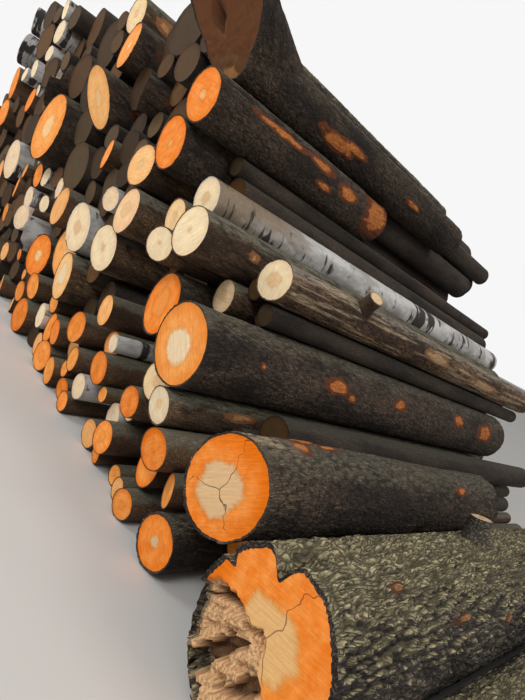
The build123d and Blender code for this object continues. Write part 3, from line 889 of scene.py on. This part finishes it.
dress("peeled_stub_log", 23, peeled_look, peeled_bark, "alder", sides=110, rings=170,
      relief=hanging_fibre, face_rings=10,
      scars=((1.7, 170, 0.2, 0.05, 0.004), (2.6, 190, 0.3, 0.05, 0.004)),
      stub=dict(seed=25, from_butt=0.70, turn=128, stub_radius=0.048, height=0.105, lean=-14.0,
                look=dict(peeled_look, face=(0.72, 0.47, 0.25))))

# Birch logs: white paper bark with black bands, torn brown here and there, and
# cream sawn ends. The white one runs the whole depth of the pile near its end.


def make_birch_bands():
    """Black bands and short dashes that run round a birch, and curls of peeling paper."""
    tree, given = new_effect("birch_bands", Place=None)
    place = given["Place"]
    blots = noise(place, 1.6, 4.0, 0.65, along=7.0)
    broad = noise(scaled(place, 1.6, 3.0, 3.0), 1.7, 2.0)
    band = stretch(times_plus(broad, 0.5, blots), 0.775, 0.845)
    dash = stretch(noise(scaled(place, 130.0, 14.0, 14.0), 1.0, 2.0), 0.66, 0.74)
    peel = stretch(noise(scaled(place, 5.0, 9.0, 9.0), 1.0, 4.0, 0.7), 0.60, 0.68)
    height = minus(noise(place, 90.0), times(band, 0.8))
    return end_effect(tree, {"Band": band, "Dash": dash, "Peel": peel, "Height": height})


birch_bands = make_birch_bands()


def paper_bark_material(name, paper, grey, band_tint, peel_tints):
    """Paper bark: white to grey sheets, dark bands and dashes, brown where it peels."""
    material, tree, shader = new_material(name)
    place = attribute(tree, "log_place")
    marks = parts_of(attribute(tree, "marks"))
    bands = use_effect(birch_bands, {"Place": place})
    clean = blend(stretch(noise(place, 7.0, 4.0, along=0.6), 0.4, 0.62), paper, grey)
    peeled = blend(noise(place, 40.0), *peel_tints)
    worn = blend(larger(bands["Peel"], marks["Y"]), clean, peeled)
    dashed = blend(times(bands["Dash"], 0.65), worn, band_tint)
    colour = blend(larger(bands["Band"], marks["X"]), dashed, band_tint)
    feed_surface(shader, colour, bands["Band"], (0.55, 0.92), bands["Height"], 0.6, 0.003)
    return material


paper_bark = paper_bark_material("birch_paper_bark", (0.62, 0.60, 0.57), (0.36, 0.34, 0.32),
                                 (0.030, 0.024, 0.020), ((0.13, 0.085, 0.050), (0.30, 0.22, 0.14)))
birch_look = dict(rind=0.006, swell=0.008, ragged=0.008, face=PALE_CREAM, heart=(0.76, 0.50, 0.27),
                  heart_size=0.3, heart_at=(0.03, 0.0), checks=0.4, bark=AS_IT_IS)
# seed, sides, rings and the browned spots of each
BIRCH_LOGS = {"white_birch_log": (29, 90, 150, ((0.05, 120, 0.80, 0.26, 0.0),)),
              "banded_birch_log": (31, 72, 60, ((0.1, 60, 0.35, 0.15, 0.0),)),
              "slant_cut_birch_log": (37, 64, 40, ())}
for node, (seed, sides, rings, browned) in BIRCH_LOGS.items():
    dress(node, seed, birch_look, paper_bark, "birch", sides=sides, rings=rings, face_rings=9,
          scars=browned)

# Cream-faced logs of the near corner: mostly birch and young alder with pale ends,
# grey-green bark above and orange-brown below, a knot on the front one.
cream_bark = bark_material("cream_log_bark", (0.075, 0.045, 0.027), (0.27, 0.165, 0.090),
                           (0.016, 0.010, 0.007), ((0.17, 0.165, 0.115), (0.40, 0.37, 0.27)), 0.40,
                           ((0.30, 0.13, 0.05), (0.62, 0.32, 0.13)), 1.2, depth=0.004)
cream_look = dict(rind=0.007, swell=0.009, plate=0.018, stretch=2.8, furrow=0.0035, ragged=0.009,
                  face=PALE_CREAM, heart=(0.80, 0.50, 0.26), heart_size=0.16, heart_at=(0.05, 0.04),
                  checks=0.35, bark=AS_IT_IS)
CREAM_SEED = 200
# face, size of the heart and scars of each
CREAM_LOGS = {
    "cream_front_log": (PALE_CREAM, 0.14, ((0.36, 168, 0.045, 0.03, 0.006), (1.2, 150, 0.1, 0.03, 0.003))),
    "round_cream_log": (PALE_CREAM, 0.12, ()),
    "split_shaded_log": ((0.80, 0.56, 0.33), 0.3, ()),
    "half_shaded_upper_log": ((0.86, 0.55, 0.27), 0.2, ((0.4, 170, 0.1, 0.03, 0.003),)),
    "half_shaded_cream_log": (CREAM, 0.25, ()),
    "cream_foot_log": ((0.74, 0.58, 0.38), 0.2, ((0.5, 150, 0.12, 0.03, 0.003),)),
    "shaded_foot_log": (PALE_CREAM, 0.2, ()),
    "pink_cream_log": ((0.84, 0.52, 0.28), 0.34, ()),
    "split_cheek_log": ((0.88, 0.46, 0.18), 0.2, ()),
    "white_face_log": (PALE_CREAM, 0.18, ()),
    "cream_heart_log": ((0.88, 0.48, 0.19), 0.46, ()),
    "torn_cream_log": (CREAM, 0.2, ((0.2, 170, 0.1, 0.06, 0.004),))}
for seed, (node, (face, heart_size, scars)) in enumerate(CREAM_LOGS.items(), CREAM_SEED):
    look = dict(cream_look, face=face, heart_size=heart_size)
    if node == "cream_heart_log":
        look["heart"] = PALE_CREAM
    dress(node, seed, look, cream_bark, "pale_wood", sides=64, rings=58, face_rings=7, scars=scars)

# Upper alder log and round orange log: thick upper stems of the near end, dark
# bark with many orange and red-brown wounds from the grapple. The round one is
# short and ends in a slanting orange cut.
upper_look = dict(pale_look, face=ORANGE, heart=(0.86, 0.42, 0.15), heart_size=0.17, heart_at=(0, 0),
                  bark=(0.85, 0.8, 0.78))
dress("upper_alder_log", 43, upper_look, alder_bark, "alder", sides=110, rings=190, face_rings=10,
      scars=((0.56, 192, 0.03, 0.03, 0.006), (1.36, 146, 0.14, 0.07, 0.005), (1.75, 150, 0.10, 0.05, 0.004),
             (2.32, 120, 0.20, 0.08, 0.004), (3.0, 110, 0.25, 0.10, 0.004), (0.95, 175, 0.2, 0.02, 0.003),
             (1.05, 162, 0.08, 0.04, 0.004), (1.58, 166, 0.09, 0.05, 0.004), (2.02, 150, 0.10, 0.05, 0.004)))
dress("round_orange_log", 47, upper_look, alder_bark, "alder", sides=110, rings=110, face_rings=10,
      scars=((0.52, 150, 0.30, 0.035, 0.006), (1.66, 160, 0.17, 0.22, 0.02), (1.0, 190, 0.1, 0.03, 0.004),
             (0.95, 148, 0.16, 0.05, 0.005), (1.25, 168, 0.12, 0.06, 0.005)))

# Flared top log: root end of an old alder on top of the near corner, spread into a broad
# slanting butt whose face is painted dark brown as the shade of a face turned from the light,
# with a rotten hollow in it painted near black as its shade. Its far end was cut bright
# orange. The lichen log lies on it from behind.
FLARE_LIFT = 0.289
FLARE_START = 0.40
FLARE_RUN = 1.20
FLARE_WIDE = 0.40
FLARE_SLIM = 0.07
FLARE_GUESS = 0.3
# how far the cut slants for each unit to the far side and upwards, and where that ends
CUT_SLANT = (0.445, 0.488)
SLANT_RUN = 2.0
ROOT_LOBES = 3
LOBE_DEPTH = 0.05
HOLLOW_AT = (0.35, 0.55)
HOLLOW_DEPTH = 0.07
DENTS = 0.008
# butt face and heart painted dark brown: painted shade of a face turned away from the light
flared_look = dict(pale_look, face=(0.13, 0.052, 0.020), heart=(0.38, 0.17, 0.06), heart_size=0.4,
                   heart_at=(-0.3, -1.0), checks=0.5, bark=(0.85, 0.82, 0.8), swell=0.02,
                   back_face=ORANGE)
flared_log = cones_of("top_flared_log")[0]
flared_radius = flared_log["slope"] * ((flared_log["butt"][0] - tip) @ flared_log["axis"])


def root_flare(turn, along):
    """How far the flared root end stands out of the log, as a share of its radius."""
    flare = FLARE_GUESS
    for _ in range(3):
        # the slanting cut brings the top of the butt further out than its foot
        slant = (CUT_SLANT[0] * np.cos(turn) + CUT_SLANT[1] * np.sin(turn)) * flare
        slant = slant * ease(along, SLANT_RUN, 0.0)
        part = np.clip((along - slant + FLARE_START) / FLARE_RUN, 0, 1)
        wide = FLARE_WIDE + (FLARE_SLIM - FLARE_WIDE) * part
        rise = FLARE_LIFT * (1 - part)
        under = np.maximum(wide ** 2 - (rise * np.cos(turn)) ** 2, 0)
        flare = rise * np.sin(turn) + np.sqrt(under)
    lobes = 1 - LOBE_DEPTH * (1 - part) * (1 + np.sin(ROOT_LOBES * turn + 0.6))
    return np.maximum(1, flare * lobes / flared_radius)


def rotten_hollow(turn, level):
    """A hollow in the upper far part of the butt, painted near black as its shade, the rest slightly uneven.
    """
    across = np.cos(turn) * level
    above = np.sin(turn) * level
    flat = flat_spots(across * 4.0, above * 4.0)
    far = np.hypot(across - HOLLOW_AT[0], (above - HOLLOW_AT[1]) * 0.6)
    hollow = ease(far + 0.5 * (cloud(flat, 61, 3) - 0.5), 0.34, 0.12)
    return HOLLOW_DEPTH * hollow + DENTS * cloud(flat * 2, 62, 2), 0.0 * hollow, 0.9 * hollow


dress("top_flared_log", 53, flared_look, alder_bark, "alder", sides=140, rings=180, outline=root_flare,
      face_relief=rotten_hollow, face_rings=18,
      scars=((0.92, 200, 0.22, 0.06, 0.005), (1.12, 185, 0.16, 0.04, 0.004), (2.0, 190, 0.12, 0.03, 0.003)))
dress("lichen_top_log", 59, dict(upper_look, bark=(1.6, 1.55, 1.4)), mossy_bark, "alder", sides=84,
      rings=110, face_rings=7)

# Thick alder logs of the middle of the pile: dark bark, bright orange butts with
# small pale hearts. One butt broke off in a step when the tree was felled.
middle_look = dict(upper_look, heart=(0.90, 0.55, 0.25), swell=0.012, furrow=0.005)
MIDDLE_SEED = 300
# face and size of the heart of each
MIDDLE_LOGS = {
    "wide_orange_log": ((0.90, 0.36, 0.09), 0.12), "ragged_orange_log": (ORANGE, 0.25),
    "great_heart_log": (PALE_ORANGE, 0.34), "tilted_cut_log": ((0.88, 0.42, 0.14), 0.2),
    "oblique_cut_log": (ORANGE, 0.2), "slim_orange_log": (PALE_ORANGE, 0.16),
    "stepped_butt_log": ((0.42, 0.20, 0.09), 0.3)}
STEP_DEPTH = 0.095


def felling_step(turn, level):
    """The upper part of the butt broke off deeper than the saw cut below it."""
    step = ease(np.sin(turn) * level, 0.13, 0.17)
    return STEP_DEPTH * step, 0.0 * step, 0.0 * step


for seed, (node, (face, heart_size)) in enumerate(MIDDLE_LOGS.items(), MIDDLE_SEED):
    butt = dict(face_rings=8)
    if node == "stepped_butt_log":
        butt = dict(face_rings=16, face_relief=felling_step)
    dress(node, seed, dict(middle_look, face=face, heart_size=heart_size), alder_bark, "alder",
          sides=72, rings=52, scars=((0.3, 170, 0.12, 0.05, 0.004), (1.1, 130, 0.15, 0.05, 0.004)),
          **butt)

# Small logs: the foot of the pile and the slim logs between the thick ones. Thin
# smooth bark, alder ends from orange to cream, birch ends cream under pale bark.
slim_bark = bark_material("slim_log_bark", (0.075, 0.045, 0.028), (0.20, 0.12, 0.068), (0.020, 0.012, 0.008),
                          ((0.15, 0.14, 0.10), (0.28, 0.26, 0.19)), 0.40,
                          ((0.30, 0.12, 0.04), (0.62, 0.30, 0.11)), 1.6, depth=0.003, fissure_share=0.5)
slim_look = dict(rind=0.005, swell=0.006, ragged=0.006, heart_size=0.15, heart_at=(0, 0), checks=0.3)
ALDER_FACES = ((0.86, 0.23, 0.025), (0.86, 0.29, 0.05), (0.88, 0.26, 0.04), (0.82, 0.37, 0.12),
               (0.84, 0.20, 0.015))
BIRCH_FACES = (PALE_CREAM, (0.78, 0.55, 0.33), (0.82, 0.60, 0.38))
SLIM_PLACES = ("foot_logs_near", "foot_logs_far", "middle_logs_near", "middle_logs_far", "upper_logs_far")
SLIM_NODES = [(kind + place, faces) for kind, faces in (("alder_", ALDER_FACES), ("birch_", BIRCH_FACES))
              for place in SLIM_PLACES]
SLIM_SEED = 70
SLIM_LOG_SEED = 1000
SEEDS_A_NODE = 50
for count, (node, faces) in enumerate(SLIM_NODES):
    pile = LogPile()
    rng = np.random.default_rng(SLIM_SEED + count)
    for k, log in enumerate(cones_of(node)):
        face = np.array(faces[(k * 3 + count) % len(faces)]) * rng.uniform(0.88, 1.05)
        light = rng.uniform(0.75, 1.5)
        look = dict(slim_look, face=face, heart=face * (1.0, 1.15, 1.35),
                    bark=(light, light * 0.96, light * 0.9), heart_size=rng.uniform(0.05, 0.35),
                    heart_at=rng.uniform(-0.1, 0.1, 2))
        grow_log(pile, log, SLIM_LOG_SEED + SEEDS_A_NODE * count + k, look, sides=36, rings=15, face_rings=5)
    if faces is BIRCH_FACES:
        pile.finish(node, paper_bark)
    else:
        pile.finish(node, slim_bark)

# Hidden logs: what holds the others up inside the pile, seen only as ends set back in the
# gaps and as the plain finish of the far end. Their near ends and bark are painted dark: painted
# shade of the gaps.
shaded_bark = bark_material("shaded_bark", (0.026, 0.019, 0.015), (0.080, 0.058, 0.042),
                            (0.010, 0.007, 0.005), ((0.05, 0.045, 0.03), (0.10, 0.09, 0.065)), 0.3,
                            ((0.18, 0.08, 0.03), (0.35, 0.18, 0.08)), 1.4, depth=0.003, fissure_share=0.5)
HIDDEN_FACES = ((0.70, 0.30, 0.09), (0.66, 0.38, 0.17), (0.62, 0.30, 0.11))
BACK_FACE = (0.42, 0.23, 0.11)
HIDDEN_SEED = 90
HIDDEN_LOG_SEED = 3000
SEEDS_A_TIER = 100
for count, node in enumerate(HIDDEN_NODES):
    pile = LogPile()
    rng = np.random.default_rng(HIDDEN_SEED + count)
    for k, log in enumerate(cones_of(node)):
        # near ends darkened to 5 to 16 percent of the wood colour: painted shade of the gaps; far ends keep
        # their colour
        face = np.array(HIDDEN_FACES[k % len(HIDDEN_FACES)]) * rng.uniform(0.05, 0.16)
        look = dict(slim_look, face=face, heart=face * (1.0, 1.2, 1.4), bark=AS_IT_IS,
                    heart_size=rng.uniform(0.05, 0.3), back_face=np.array(BACK_FACE) * rng.uniform(0.6, 1.2))
        grow_log(pile, log, HIDDEN_LOG_SEED + SEEDS_A_TIER * count + k, look, sides=22, rings=6, face_rings=4)
    pile.finish(node, shaded_bark)

# Floor and light: a pale level floor and soft studio light at a plain level. The
# sky lights the wood less than it shows in the picture; three soft lamps add to it.
FLOOR_REACH = 60.0
FLOOR_TINT = (0.62, 0.60, 0.57)
SKY_ON_WOOD = 0.38
SKY_SEEN = 0.93

floor_mesh = bpy.data.meshes.new("floor")
corners = [(x * FLOOR_REACH, y * FLOOR_REACH, 0) for x, y in ((-1, -1), (1, -1), (1, 1), (-1, 1))]
floor_mesh.from_pydata(corners, [], [(0, 1, 2, 3)])
floor = bpy.data.objects.new("floor", floor_mesh)
bpy.context.scene.collection.objects.link(floor)
pale, tree, shader = new_material("pale_floor")
shader.inputs["Base Color"].default_value = (*FLOOR_TINT, 1)
shader.inputs["Roughness"].default_value = 0.9
floor_mesh.materials.append(pale)

world = bpy.data.worlds.new("studio")
world.use_nodes = True
bpy.context.scene.world = world
tree = world.node_tree
background = tree.nodes["Background"]
background.inputs["Color"].default_value = (1, 1, 1, 1)
ray = put("LightPath", {}, tree).outputs
seen = larger(ray["Is Camera Ray"], larger(ray["Is Glossy Ray"], ray["Is Transmission Ray"]))
strength = put("MapRange", {"Value": seen, "To Min": SKY_ON_WOOD, "To Max": SKY_SEEN})
tree.links.new(strength.outputs["Result"], background.inputs["Strength"])


def soft_lamp(name, place, aim, power, size=4.0):
    """A square lamp at a place in metres, turned to what it lights, in watts."""
    lamp = bpy.data.lights.new(name, "AREA")
    lamp.shape = "SQUARE"
    lamp.size = size
    lamp.energy = power
    made = bpy.data.objects.new(name, lamp)
    made.location = place
    made.rotation_euler = (Vector(aim) - Vector(place)).to_track_quat("-Z", "Y").to_euler()
    bpy.context.scene.collection.objects.link(made)


soft_lamp("front_light", (-9, -5, 8), aim=(0, -1.5, 1), power=500)
soft_lamp("near_end_light", (2, -13, 9), aim=(0, -1, 1), power=420)
soft_lamp("far_front_light", (-9, 5, 6), aim=(0, 2, 1.2), power=420)

bpy.context.scene.view_settings.view_transform = "Standard"
